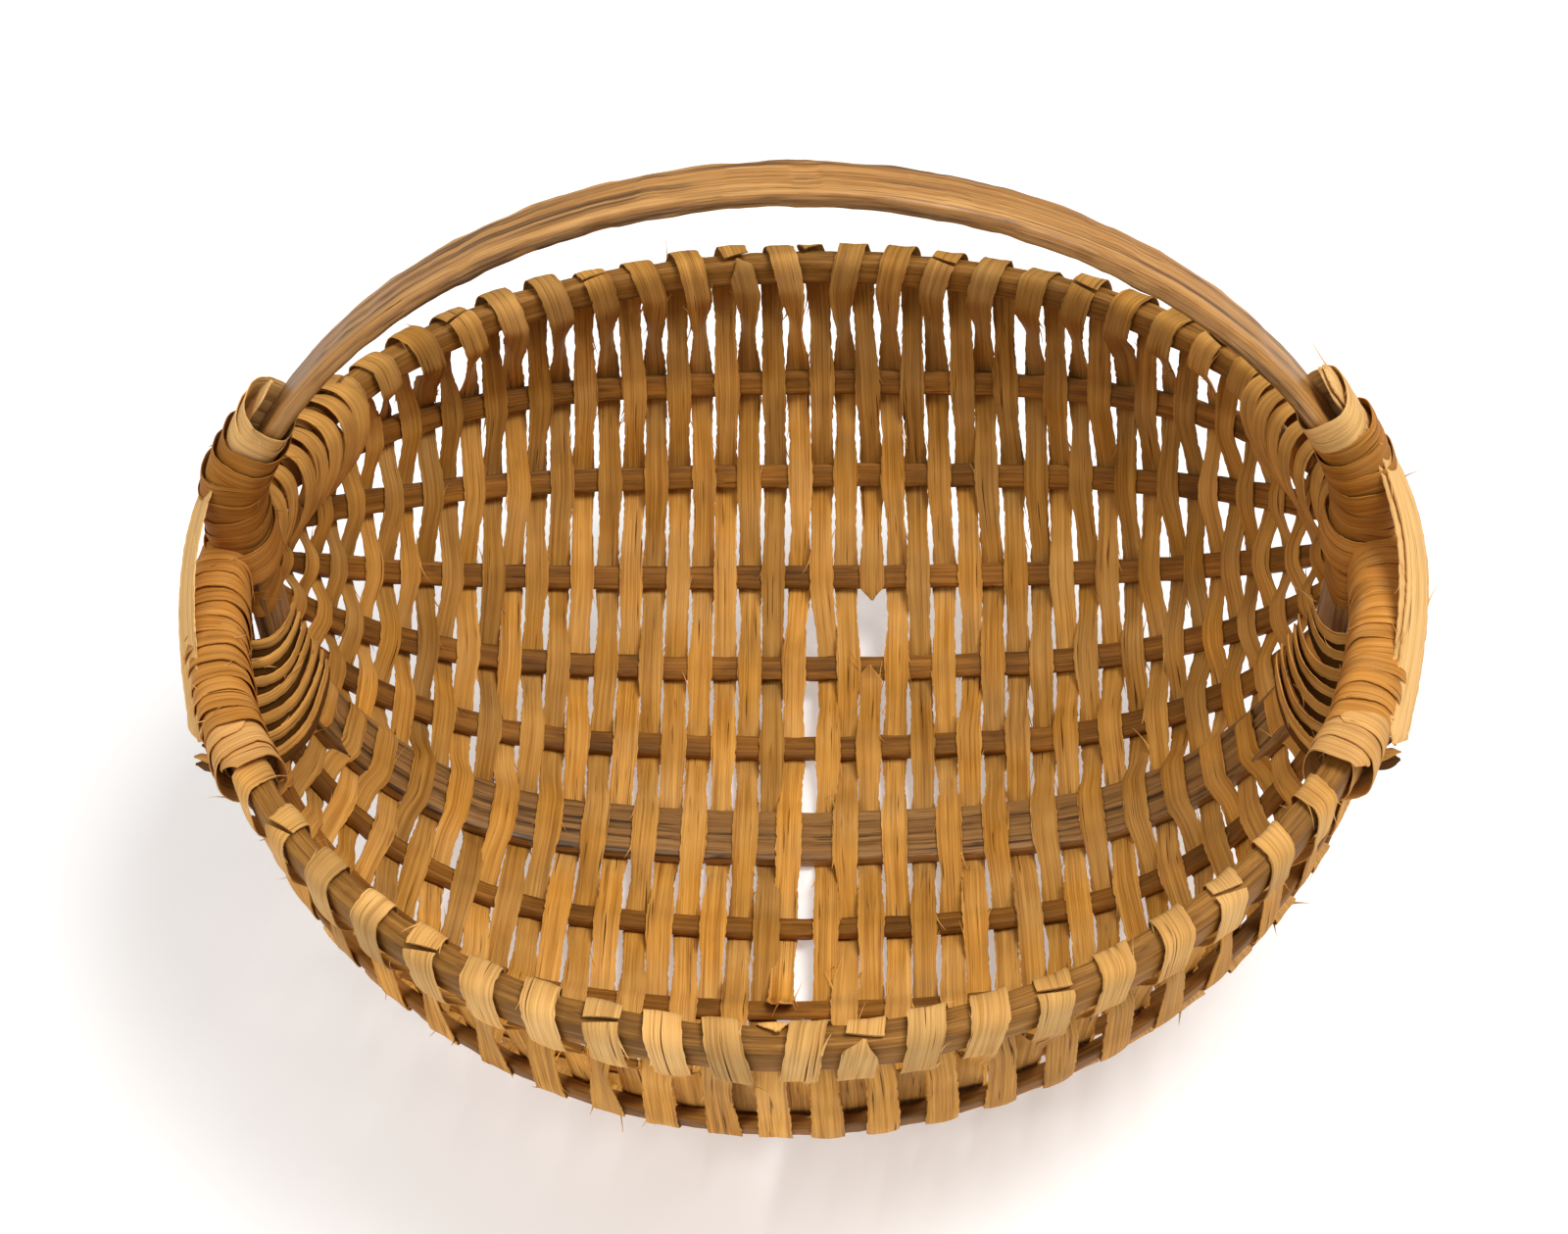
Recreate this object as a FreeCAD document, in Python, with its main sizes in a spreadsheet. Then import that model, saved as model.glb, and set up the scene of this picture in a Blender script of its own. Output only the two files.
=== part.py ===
import FreeCAD, Part
import Sketcher
import math
import os

# Rib basket for winnowing: two hoops crossing at the ears, ten whittled ribs, woven splints.
# Row frame: +X along the line between the ears, +Y away from the viewer, +Z up.
# The origin is on the floor, under the middle of the box round the whole basket.

doc = FreeCAD.newDocument("WinnowingBasket")
os.makedirs("parts", exist_ok=True)
V = FreeCAD.Vector

# ---------------------------------------------------------------- driving sizes (mm, degrees)
baseSizes = [
    ("rimSpan", 207.0, "basket middle to the rim's centreline at the ears"),
    ("ribSpan", 206.0, "basket middle to the ribs' centreline at the ears"),
    ("earHeight", 166.52, "ear axis above the floor"),
    ("planeShift", 23.4, "handle plane behind the middle of the box"),
    ("rimThick", 9.5, "rim hoop, measured in its plane"),
    ("rimHigh", 12.0, "rim hoop, measured up"),
    ("rimRound", 2.4, "rounding of the rim edges"),
    ("hoopThick", 6.5, "handle and keel hoop, measured in its plane"),
    ("hoopGap", 0.9, "space between rim and hoop where they cross"),
    ("keelWide", 26.0, "keel half of the hoop"),
    ("handleWide", 21.0, "handle half of the hoop"),
    ("handleStart", 6.5, "height above the ears where the handle width starts"),
    ("ribThick", 5.0, "rib thickness"),
    ("ribWide", 10.5, "rib width away from its points"),
    ("tipWide", 3.0, "rib width at its points"),
    ("tipStart", 15.0, "distance of the points from the ear axis"),
    ("tipStartNear", 28.0, "the same for the two ribs nearest the rim on each side"),
    ("taperEnd", 95.0, "distance from the ear axis where the rib is full width"),
    ("splintThick", 0.9, "weaving splint thickness"),
    ("splintGap", 0.45, "space between splint and what it passes"),
    ("passCount", 27.0, "passes of the weave in each half"),
    ("firstPass", 42.0, "start of the weave along the ribs and the keel"),
    ("firstWrap", 27.0, "start of the weave along the rim"),
    ("fillShare", 0.86, "splint width over the pitch of the passes"),
    ("lashWall", 2.6, "thickness of the ear lashing"),
    ("footWall", 0.9, "thickness of the ear lashing round the keel"),
    ("bindWall", 1.6, "thickness of the handle binding"),
    ("strapThick", 1.2, "side strap thickness"),
    ("strapWide", 11.0, "side strap width"),
]
# name, angle below the back rim, rise, bend radius at the ends, straight leg length
archSizes = [
    ("RimBack", 0.0, 175.3, 167.6, 0.0),
    ("BackA", 18.5, 180.8, 142.9, 33.6),
    ("BackB", 32.0, 185.5, 145.9, 35.7),
    ("BackC", 46.0, 183.7, 144.9, 34.9),
    ("BackD", 59.5, 175.6, 139.5, 31.2),
    ("BackE", 73.0, 166.5, 133.3, 27.3),
    ("Keel", 90.0, 161.9, 120.6, 34.5),
    ("FrontE", 107.0, 167.0, 133.7, 27.7),
    ("FrontD", 120.5, 180.7, 142.8, 33.5),
    ("FrontC", 134.0, 196.0, 152.0, 32.0),
    ("FrontB", 148.0, 205.0, 172.0, 22.0),
    ("FrontA", 161.5, 213.5, 195.0, 12.0),
    ("RimFront", 180.0, 222.4, 229.4, 0.0),
    ("Handle", 270.0, 151.8, 44.0, 16.0),
]
# how much closer the passes lie at the middle of each of the thirteen crossings
crowding = [0.05, 0.02, 0.0, -0.03, -0.06, -0.08, -0.1, -0.06, 0.0, 0.08, 0.16, 0.23, 0.3]
ribNames = ["BackA", "BackB", "BackC", "BackD", "BackE", "FrontA", "FrontB", "FrontC", "FrontD", "FrontE"]
passesPerSplint = 3

sheet = doc.addObject("Spreadsheet::Sheet", "Sheet")
rowNumber = [0]


def addSize(alias, text, note):
    rowNumber[0] += 1
    row = str(rowNumber[0])
    sheet.set("A" + row, note)
    sheet.set("B" + row, text)
    sheet.setAlias("B" + row, alias)


for alias, value, note in baseSizes:
    addSize(alias, str(value), note)
addSize("hoopSpan", "=rimSpan - rimThick / 2 - hoopGap - hoopThick / 2", "half span of the hoop")


def spanOf(name):
    if name in ("Keel", "Handle"):
        return "hoopSpan"
    return "rimSpan" if name.startswith("Rim") else "ribSpan"


for name, angle, rise, bend, leg in archSizes:
    span = spanOf(name)
    addSize("angle" + name, str(angle), name + " angle below the back rim")
    addSize("rise" + name, str(rise), name + " rise from the ear axis")
    addSize("bend" + name, str(bend), name + " bend radius at its ends")
    addSize("leg" + name, str(leg), name + " straight leg at its ends")
    top = "rise" + name + " - leg" + name
    crown = "=(%s * %s + (%s) * (%s) - 2 * %s * bend%s) / (2 * (%s - bend%s))" % (
        span, span, top, top, span, name, top, name)
    addSize("crown" + name, crown, name + " radius over its middle")
doc.recompute()


def size(alias):
    return float(sheet.get(alias))


# ---------------------------------------------------------------- flat curves of hoops and ribs
def archData(name):
    span = size(spanOf(name))
    data = {"name": name, "span": span, "angle": size("angle" + name), "rise": size("rise" + name)}
    data["bend"] = size("bend" + name)
    data["leg"] = size("leg" + name)
    data["crown"] = size("crown" + name)
    # the two arcs meet on the line through their centres
    dx = (span - data["bend"]) / (data["crown"] - data["bend"])
    dv = (data["leg"] - (data["rise"] - data["crown"])) / (data["crown"] - data["bend"])
    data["turn"] = math.atan2(dv, dx)
    bendLength = data["bend"] * data["turn"]
    data["length"] = data["leg"] + bendLength + data["crown"] * (math.pi / 2 - data["turn"])
    return data


def archPoint(arch, s, side):
    """Point, direction and outward normal at length s from the ear, in the plane of the arch."""
    bendLength = arch["bend"] * arch["turn"]
    if s <= arch["leg"]:
        flat = (arch["span"], s)
        normal = (1.0, 0.0)
    elif s <= arch["leg"] + bendLength:
        a = (s - arch["leg"]) / arch["bend"]
        normal = (math.cos(a), math.sin(a))
        flat = (arch["span"] - arch["bend"] + arch["bend"] * normal[0], arch["leg"] + arch["bend"] * normal[1])
    else:
        a = arch["turn"] + (s - arch["leg"] - bendLength) / arch["crown"]
        normal = (math.cos(a), math.sin(a))
        flat = (arch["crown"] * normal[0], arch["rise"] - arch["crown"] + arch["crown"] * normal[1])
    t = math.radians(arch["angle"])
    up = V(0, math.cos(t), -math.sin(t))
    down = V(0, -math.sin(t), -math.cos(t))
    ear = V(0, size("planeShift"), size("earHeight"))
    point = ear + V(side * flat[0], 0, 0) + up * flat[1]
    outward = V(side * normal[0], 0, 0) + up * normal[1]
    along = V(-side * normal[1], 0, 0) + up * normal[0]
    return point, along, outward, down


def ribWidthAt(v):
    share = (v - size("tipStart")) / (size("taperEnd") - size("tipStart"))
    share = min(max(share, 0.0), 1.0)
    return size("tipWide") + share * (size("ribWide") - size("tipWide"))


# ---------------------------------------------------------------- sketch helpers
def originPlane(body, role):
    for item in body.Origin.OriginFeatures:
        if item.Role == role:
            return item
    raise ValueError(role)


def newSketch(body, role, name):
    sketch = body.newObject("Sketcher::SketchObject", name)
    sketch.AttachmentSupport = [(originPlane(body, role), "")]
    sketch.MapMode = "FlatFace"
    return sketch


def bind(sketch, constraint, formula):
    index = sketch.addConstraint(constraint)
    if formula is not None:
        sketch.setExpression("Constraints[%d]" % index, formula)
    return index


def addArch(sketch, name, grow, sign, feet):
    """Adds one arch of arcs and legs; grow moves it outward; feet holds an arch to close onto."""
    arch = archData(name)
    half = arch["span"] + grow[0]
    small = arch["bend"] + grow[0]
    big = arch["crown"] + grow[0]
    leg = arch["leg"]
    turn = arch["turn"]
    smallCentre = arch["span"] - arch["bend"]
    bigCentre = arch["rise"] - arch["crown"]
    up = V(0, 0, 1)

    def arc(cx, cy, radius, a1, a2):
        if sign < 0:
            a1, a2 = -a2, -a1
        circle = Part.Circle(V(cx, sign * cy, 0), up, radius)
        return sketch.addGeometry(Part.ArcOfCircle(circle, a1, a2), False)

    right = arc(smallCentre, leg, small, 0.0, turn)
    crown = arc(0.0, bigCentre, big, turn, math.pi - turn)
    left = arc(-smallCentre, leg, small, math.pi - turn, math.pi)
    first, last = (1, 2) if sign > 0 else (2, 1)
    add = sketch.addConstraint
    add(Sketcher.Constraint("Tangent", right, last, crown, first))
    add(Sketcher.Constraint("Tangent", crown, last, left, first))
    bind(sketch, Sketcher.Constraint("Radius", right, small), "Sheet.bend" + name + grow[1])
    add(Sketcher.Constraint("Equal", right, left))
    bind(sketch, Sketcher.Constraint("Radius", crown, big), "Sheet.crown" + name + grow[1])
    footRight = (right, first)
    footLeft = (left, last)
    if leg > 0:
        lineRight = sketch.addGeometry(Part.LineSegment(V(half, 0, 0), V(half, sign * leg, 0)), False)
        lineLeft = sketch.addGeometry(Part.LineSegment(V(-half, sign * leg, 0), V(-half, 0, 0)), False)
        add(Sketcher.Constraint("Tangent", lineRight, 2, right, first))
        add(Sketcher.Constraint("Tangent", left, last, lineLeft, 1))
        add(Sketcher.Constraint("Vertical", lineRight))
        add(Sketcher.Constraint("Vertical", lineLeft))
        legText = "Sheet.leg" + name if sign > 0 else "-Sheet.leg" + name
        bind(sketch, Sketcher.Constraint("DistanceY", -1, 1, lineRight, 2, sign * leg), legText)
        bind(sketch, Sketcher.Constraint("DistanceY", -1, 1, lineLeft, 1, sign * leg), legText)
        footRight = (lineRight, 1)
        footLeft = (lineLeft, 2)
    else:
        add(Sketcher.Constraint("PointOnObject", right, 3, -1))
        add(Sketcher.Constraint("PointOnObject", left, 3, -1))
    if feet is None:
        spanText = "Sheet." + spanOf(name) + grow[1]
        add(Sketcher.Constraint("PointOnObject", footRight[0], footRight[1], -1))
        add(Sketcher.Constraint("PointOnObject", footLeft[0], footLeft[1], -1))
        bind(sketch, Sketcher.Constraint("DistanceX", -1, 1, footRight[0], footRight[1], half), spanText)
        bind(sketch, Sketcher.Constraint("DistanceX", footLeft[0], footLeft[1], -1, 1, half), spanText)
    else:
        add(Sketcher.Constraint("Coincident", footRight[0], footRight[1], feet[0][0], feet[0][1]))
        add(Sketcher.Constraint("Coincident", footLeft[0], footLeft[1], feet[1][0], feet[1][1]))
    return footRight, footLeft


def addPolygon(sketch, corners):
    """Closed polygon; each corner is (x, y, xFormula, yFormula), all held by the sheet."""
    count = len(corners)
    first = sketch.GeometryCount
    for i in range(count):
        a = corners[i]
        b = corners[(i + 1) % count]
        sketch.addGeometry(Part.LineSegment(V(a[0], a[1], 0), V(b[0], b[1], 0)), False)
    for i in range(count):
        before = first + (i - 1) % count
        sketch.addConstraint(Sketcher.Constraint("Coincident", before, 2, first + i, 1))
    for i in range(count):
        x, y, xText, yText = corners[i]
        bind(sketch, Sketcher.Constraint("DistanceX", -1, 1, first + i, 1, x), xText)
        bind(sketch, Sketcher.Constraint("DistanceY", -1, 1, first + i, 1, y), yText)


# ---------------------------------------------------------------- hoops
def hoopBody(nodeName, upper, lower, thickName, wideName):
    body = doc.addObject("PartDesign::Body", "Body_" + nodeName)
    body.Label = nodeName
    sketch = newSketch(body, "XZ_Plane", "Outline_" + nodeName)
    half = size(thickName) / 2
    for sign, text in ((1, " + Sheet." + thickName + " / 2"), (-1, " - Sheet." + thickName + " / 2")):
        feet = addArch(sketch, upper, (sign * half, text), 1, None)
        addArch(sketch, lower, (sign * half, text), -1, feet)
    pad = body.newObject("PartDesign::Pad", "Pad_" + nodeName)
    pad.Profile = sketch
    pad.SideType = "Symmetric"
    pad.setExpression("Length", "Sheet." + wideName)
    body.Tip = pad
    return body, pad


def makeRim():
    body, pad = hoopBody("rim_hoop", "RimBack", "RimFront", "rimThick", "rimHigh")
    doc.recompute()
    edges = []
    for i, edge in enumerate(pad.Shape.Edges):
        box = edge.BoundBox
        flat = box.YLength < 0.01
        if flat and abs(abs(box.YMin) - size("rimHigh") / 2) < 0.01:
            edges.append("Edge%d" % (i + 1))
    fillet = body.newObject("PartDesign::Fillet", "Round_rim_hoop")
    fillet.Base = (pad, edges)
    fillet.setExpression("Radius", "Sheet.rimRound")
    body.Tip = fillet
    body.Placement = placeAt(-90.0)
    return body


def makeHandleHoop():
    body, pad = hoopBody("handle_hoop", "Handle", "Keel", "hoopThick", "keelWide")
    # the handle half is whittled narrower than the keel half
    sketch = newSketch(body, "YZ_Plane", "Whittle_handle_hoop")
    start = size("handleStart")
    near = size("handleWide") / 2
    far = size("keelWide") / 2 + 3
    top = size("riseHandle") + size("hoopThick")
    for sign, s in ((1, ""), (-1, "-")):
        corners = [
            (sign * near, start, s + "Sheet.handleWide / 2", "Sheet.handleStart"),
            (sign * far, start, s + "(Sheet.keelWide / 2 + 3)", "Sheet.handleStart"),
            (sign * far, top, s + "(Sheet.keelWide / 2 + 3)", "Sheet.riseHandle + Sheet.hoopThick"),
            (sign * near, top, s + "Sheet.handleWide / 2", "Sheet.riseHandle + Sheet.hoopThick"),
        ]
        addPolygon(sketch, corners)
    cut = body.newObject("PartDesign::Pocket", "Cut_handle_hoop")
    cut.Profile = sketch
    cut.SideType = "Symmetric"
    cut.Type = "Length"
    cut.setExpression("Length", "4 * Sheet.ribSpan")
    body.Tip = cut
    body.Placement = placeAt(0.0)
    return body


def placeAt(turn):
    base = V(0, size("planeShift"), size("earHeight"))
    return FreeCAD.Placement(base, FreeCAD.Rotation(V(1, 0, 0), turn))


# ---------------------------------------------------------------- ribs
def makeRib(nodeName, name):
    body = doc.addObject("PartDesign::Body", "Body_" + nodeName)
    body.Label = nodeName
    spine = newSketch(body, "XZ_Plane", "Spine_" + nodeName)
    addArch(spine, name, (0.0, ""), 1, None)
    profile = newSketch(body, "XY_Plane", "Section_" + nodeName)
    t = size("ribThick") / 2
    w = size("ribWide") / 2
    a = size("ribSpan")
    inner = "Sheet.ribSpan - Sheet.ribThick / 2"
    outer = "Sheet.ribSpan + Sheet.ribThick / 2"
    corners = [
        (a - t, -w, inner, "-Sheet.ribWide / 2"),
        (a + t, -w, outer, "-Sheet.ribWide / 2"),
        (a + t, w, outer, "Sheet.ribWide / 2"),
        (a - t, w, inner, "Sheet.ribWide / 2"),
    ]
    addPolygon(profile, corners)
    pipe = body.newObject("PartDesign::AdditivePipe", "Sweep_" + nodeName)
    pipe.Profile = profile
    pipe.Spine = (spine, [])
    # both ends are whittled to points that stop short of the ear axis
    point = newSketch(body, "YZ_Plane", "Points_" + nodeName)
    full = size("taperEnd")
    tip = size("tipWide") / 2
    startName = "tipStartNear" if name[-1] in "AB" else "tipStart"
    start = size(startName)
    side = w + 4
    sideText = "(Sheet.ribWide / 2 + 4)"
    corners = [
        (-side, -4.0, "-" + sideText, None),
        (side, -4.0, sideText, None),
        (side, full, sideText, "Sheet.taperEnd"),
        (w, full, "Sheet.ribWide / 2", "Sheet.taperEnd"),
        (tip, start, "Sheet.tipWide / 2", "Sheet." + startName),
        (-tip, start, "-Sheet.tipWide / 2", "Sheet." + startName),
        (-w, full, "-Sheet.ribWide / 2", "Sheet.taperEnd"),
        (-side, full, "-" + sideText, "Sheet.taperEnd"),
    ]
    addPolygon(point, corners)
    cut = body.newObject("PartDesign::Pocket", "Whittle_" + nodeName)
    cut.Profile = point
    cut.SideType = "Symmetric"
    cut.Type = "Length"
    cut.setExpression("Length", "4 * Sheet.ribSpan")
    body.Tip = cut
    body.Placement = placeAt(-90.0 - size("angle" + name))
    return body


# ---------------------------------------------------------------- woven splints
crossingNames = ["RimBack", "BackA", "BackB", "BackC", "BackD", "BackE", "Keel"]
crossingNames += ["FrontE", "FrontD", "FrontC", "FrontB", "FrontA", "RimFront"]
crossings = [archData(name) for name in crossingNames]


def passPlace(k, number):
    """Length from the ear and splint width where a pass meets crossing k."""
    arch = crossings[k]
    count = size("passCount")
    start = size("firstWrap") if k in (0, 12) else size("firstPass")
    u = (number - 0.5) / count
    spread = (arch["length"] - start) / count
    s = start + spread * count * (u + crowding[k] * u * (1 - u))
    pitch = spread * (1 + crowding[k] * (1 - 2 * u))
    return s, min(pitch * size("fillShare"), 10.0)


# four corners within this many millimetres of a plane make one flat face
flatLimit = 1e-7


def section(centre, across, thick, wide):
    """Corners of a rectangle, long side along across[0] and short side along across[1]."""
    w = across[0] * (wide / 2)
    t = across[1] * (thick / 2)
    return [centre + w + t, centre - w + t, centre - w - t, centre + w - t]


def flatFaces(corners):
    """One flat face over four corners that lie in a plane, and two over corners that do not."""
    a, b, c, d = corners
    normal = (b - a).cross(c - a)
    normal.normalize()
    if abs(normal.dot(d - a)) < flatLimit:
        return [Part.Face(Part.makePolygon([a, b, c, d, a]))]
    if (c - a).Length > (d - b).Length:
        a, b, c, d = b, c, d, a
    return [Part.Face(Part.makePolygon(loop)) for loop in ([a, b, c, a], [a, c, d, a])]


def joinSections(sections):
    """Closed solid with flat faces from each section to the next."""
    first = sections[0]
    ahead = sections[1][0] + sections[1][2] - first[0] - first[2]
    if (first[1] - first[0]).cross(first[3] - first[0]).dot(ahead) > 0:
        # the corners then run round the path so that every face looks outwards
        sections = [corners[::-1] for corners in sections]
    faces = flatFaces(sections[0])
    for here, there in zip(sections[:-1], sections[1:]):
        for i in range(4):
            j = (i + 1) % 4
            faces += flatFaces([here[i], there[i], there[j], here[j]])
    faces += flatFaces(sections[-1][::-1])
    shell = Part.makeShell(faces)
    shell.sewShape()
    return Part.makeSolid(shell)


def rimSections(k, number, side, inside, shift):
    """Sections from the top of the rim down one of its faces."""
    s0, wide = passPlace(k, number)
    s1, wide1 = passPlace(k, number + shift)
    arch = crossings[k]
    t = size("splintThick")
    face = size("rimThick") / 2 + size("splintGap") + t / 2
    top = size("rimHigh") / 2 + size("splintGap") + t / 2
    sign = -1.0 if inside else 1.0
    upward = V(0, 0, 1)
    # distance out from the rim line, height, share of the way back to the place of the pass
    steps = [(0.12, top, 0.0), (face - 2.2, top, 0.15), (face, top - 2.2, 0.3), (face, -top, 0.85)]
    wires = []
    for out, height, share in steps:
        s = s1 + (s0 - s1) * share
        point, along, outward, down = archPoint(arch, s, side)
        if height == top:
            facing = upward if out < 1 else outward * (sign * 0.38) + upward * 0.92
        else:
            facing = outward * sign if height < 0 else outward * (sign * 0.92) + upward * 0.38
        facing.normalize()
        centre = point + outward * (sign * out) + upward * height
        wires.append(section(centre, (along, facing * sign), t, wide))
    return wires


def passSolid(side, number):
    """One pass of a splint from the top of the back rim, under the basket, to the top of the front rim."""
    odd = number % 2 == 1
    inside = odd if side < 0 else not odd
    t = size("splintThick")
    gap = size("splintGap")
    backShift = -0.5 if inside else 0.5
    frontShift = 0.5 if inside else -0.5
    wires = rimSections(0, number, side, inside, backShift)
    for k in range(1, 12):
        arch = crossings[k]
        s, wide = passPlace(k, number)
        point, along, outward, down = archPoint(arch, s, side)
        inHere = inside if k % 2 == 0 else not inside
        if k == 6:
            thick = size("hoopThick")
            edge = size("keelWide") / 2
        else:
            thick = size("ribThick")
            reach = (point - V(point.x, size("planeShift"), size("earHeight"))).Length
            edge = ribWidthAt(reach) / 2
        offset = thick / 2 + gap + t / 2
        if inHere:
            offset = -offset
        for step in (-1, 1):
            centre = point + outward * offset + down * (step * (edge + gap))
            wires.append(section(centre, (along, outward), t, wide))
    front = rimSections(12, number, side, inside, frontShift)
    front.reverse()
    wires += front
    return joinSections(wires)


def makeSplint(nodeName, side, numbers):
    solids = [passSolid(side, number) for number in numbers]
    return addShape(nodeName, Part.makeCompound(solids))


def addShape(nodeName, shape):
    item = doc.addObject("Part::Feature", "Shape_" + nodeName)
    item.Label = nodeName
    item.Shape = shape
    item.Placement = FreeCAD.Placement()
    return item


# ---------------------------------------------------------------- lashings, bindings and straps
def sleeve(arch, side, s1, s2, thick, wide, wall, extraOut, steps):
    """Tube of splint turns round a hoop between two lengths from the ear."""
    gap = size("hoopGap") / 2
    outer = []
    inner = []
    for i in range(steps + 1):
        s = s1 + (s2 - s1) * i / steps
        point, along, outward, down = archPoint(arch, s, side)
        bulge = wall * (0.8 + 0.2 * math.sin(math.pi * i / steps))
        centre = point + outward * (extraOut / 2)
        flat = (down, outward)
        outer.append(section(centre, flat, thick + extraOut + 2 * (gap + bulge), wide + 2 * (gap + bulge)))
        inner.append(section(centre, flat, thick + extraOut + 2 * gap, wide + 2 * gap))
    return joinSections(outer).cut(joinSections(inner))


def makeEarLashing(nodeName, side):
    handle = archData("Handle")
    keel = crossings[6]
    wall = size("lashWall")
    thick = size("hoopThick")
    gap = size("hoopGap") / 2
    high = size("rimHigh") / 2 + gap
    shelf = 2.0
    post = sleeve(handle, side, high + shelf - 1.0, 58.0, thick, size("handleWide"), wall, 0.0, 10)
    foot = sleeve(keel, side, high + shelf - 1.0, 34.0, thick, size("keelWide"), size("footWall"), 0.0, 4)
    # the turns that cross outside the rim join the sleeves above and below it
    near = size("hoopSpan") + thick / 2 + gap
    far = size("rimSpan") + size("rimThick") / 2 + gap + shelf
    y = size("handleWide") / 2
    cross = Part.makeBox(far - near, 2 * y, 2 * (high + shelf), V(near, -y, -high - shelf))
    room = Part.makeBox(far - near - shelf, 2 * y, 2 * high, V(near, -y, -high))
    cross = cross.cut(room)
    if side < 0:
        cross = cross.mirror(V(0, 0, 0), V(1, 0, 0))
    cross.translate(V(0, size("planeShift"), size("earHeight")))
    return addShape(nodeName, post.fuse([foot, cross]))


def makeHandleBinding(nodeName, side):
    handle = archData("Handle")
    room = size("strapThick") + 0.6
    shape = sleeve(handle, side, 68.0, 84.0, size("hoopThick"), size("handleWide"), size("bindWall"), room, 4)
    return addShape(nodeName, shape)


def makeSideStrap(nodeName, side):
    handle = archData("Handle")
    rim = crossings[12]
    t = size("strapThick")
    wide = size("strapWide")
    wires = []
    out = size("hoopThick") / 2 + 0.3 + t / 2
    for s in (102.0, 92.0, 84.0, 76.0, 68.0):
        point, along, outward, down = archPoint(handle, s, side)
        wires.append(section(point + outward * out, (down, outward), t, wide))
    start = point + outward * out
    end, endAlong, endOut, endDown = archPoint(rim, 112.0, side)
    end = end + endOut * (size("rimThick") / 2 + 3.2) - endDown * 1.0
    # the strap bows outward between the binding and the front rim
    for i in range(1, 9):
        u = i / 8.0
        bow = math.sin(math.pi * min(u * 1.04, 1.0))
        centre = start + (end - start) * u + V(side * 36.0 * bow, -6.0 * bow, 0)
        facing = outward * (1 - u) + endOut * u + V(side * 0.5 * bow, 0, 0)
        facing.normalize()
        path = end - start
        across = facing.cross(path) * side
        across.normalize()
        wires.append(section(centre, (across, facing), t, wide))
    return addShape(nodeName, joinSections(wires))


# ---------------------------------------------------------------- build
nodes = [makeRim(), makeHandleHoop()]
for i, name in enumerate(ribNames):
    where = "back" if name.startswith("Back") else "front"
    nodes.append(makeRib("rib_%s_%d" % (where, i % 5 + 1), name))
for word, side in (("left", -1), ("right", 1)):
    total = int(size("passCount"))
    for j in range(0, total, passesPerSplint):
        numbers = [n for n in range(j + 1, j + 1 + passesPerSplint) if n <= total]
        nodes.append(makeSplint("splint_%s_%d" % (word, j // passesPerSplint + 1), side, numbers))
    nodes.append(makeEarLashing("ear_lashing_" + word, side))
    nodes.append(makeHandleBinding("handle_binding_" + word, side))
    nodes.append(makeSideStrap("side_strap_" + word, side))
doc.recompute()

for item in doc.Objects:
    if "Invalid" in item.State or "Error" in item.State:
        raise RuntimeError("not computed: " + item.Name)
for node in nodes:
    shape = node.Shape
    if shape.isNull() or not shape.isValid():
        raise RuntimeError("bad shape: " + node.Label)
    if shape.Volume <= 0:
        raise RuntimeError("no volume: " + node.Label)
for node in nodes:
    node.Shape.exportStep("parts/" + node.Label + ".step")
    print(node.Label, round(node.Shape.Volume / 1000.0, 2), "cm3", len(node.Shape.Solids), "solids")
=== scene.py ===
import math
import bpy
import numpy as np
from mathutils import Euler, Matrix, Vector


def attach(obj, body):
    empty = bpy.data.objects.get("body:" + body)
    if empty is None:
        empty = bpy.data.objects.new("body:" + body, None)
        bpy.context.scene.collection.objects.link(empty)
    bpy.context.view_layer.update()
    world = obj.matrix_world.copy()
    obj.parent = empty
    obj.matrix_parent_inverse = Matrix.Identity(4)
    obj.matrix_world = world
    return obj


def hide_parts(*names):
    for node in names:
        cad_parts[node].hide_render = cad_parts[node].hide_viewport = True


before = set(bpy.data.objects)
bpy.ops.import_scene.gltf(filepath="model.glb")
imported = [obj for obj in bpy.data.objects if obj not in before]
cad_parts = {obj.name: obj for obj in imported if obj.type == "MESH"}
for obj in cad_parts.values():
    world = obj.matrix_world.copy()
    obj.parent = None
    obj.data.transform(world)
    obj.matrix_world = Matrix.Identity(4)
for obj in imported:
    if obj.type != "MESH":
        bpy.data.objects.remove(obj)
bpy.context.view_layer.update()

# driving sizes in metres: +X from ear to ear, +Y away, +Z up
basket = {
    "rimSpan": 0.207, "ribSpan": 0.206, "hoopSpan": 0.1981,
    "earHeight": 0.16652, "planeShift": 0.0234,
    "rimThick": 0.0095, "rimHigh": 0.012,
    "hoopThick": 0.0065, "keelWide": 0.026, "handleWide": 0.021,
    "ribThick": 0.005, "ribWide": 0.0105,
    "tipWide": 0.003, "tipStart": 0.015, "tipStartNear": 0.028, "taperEnd": 0.095,
}

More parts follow.
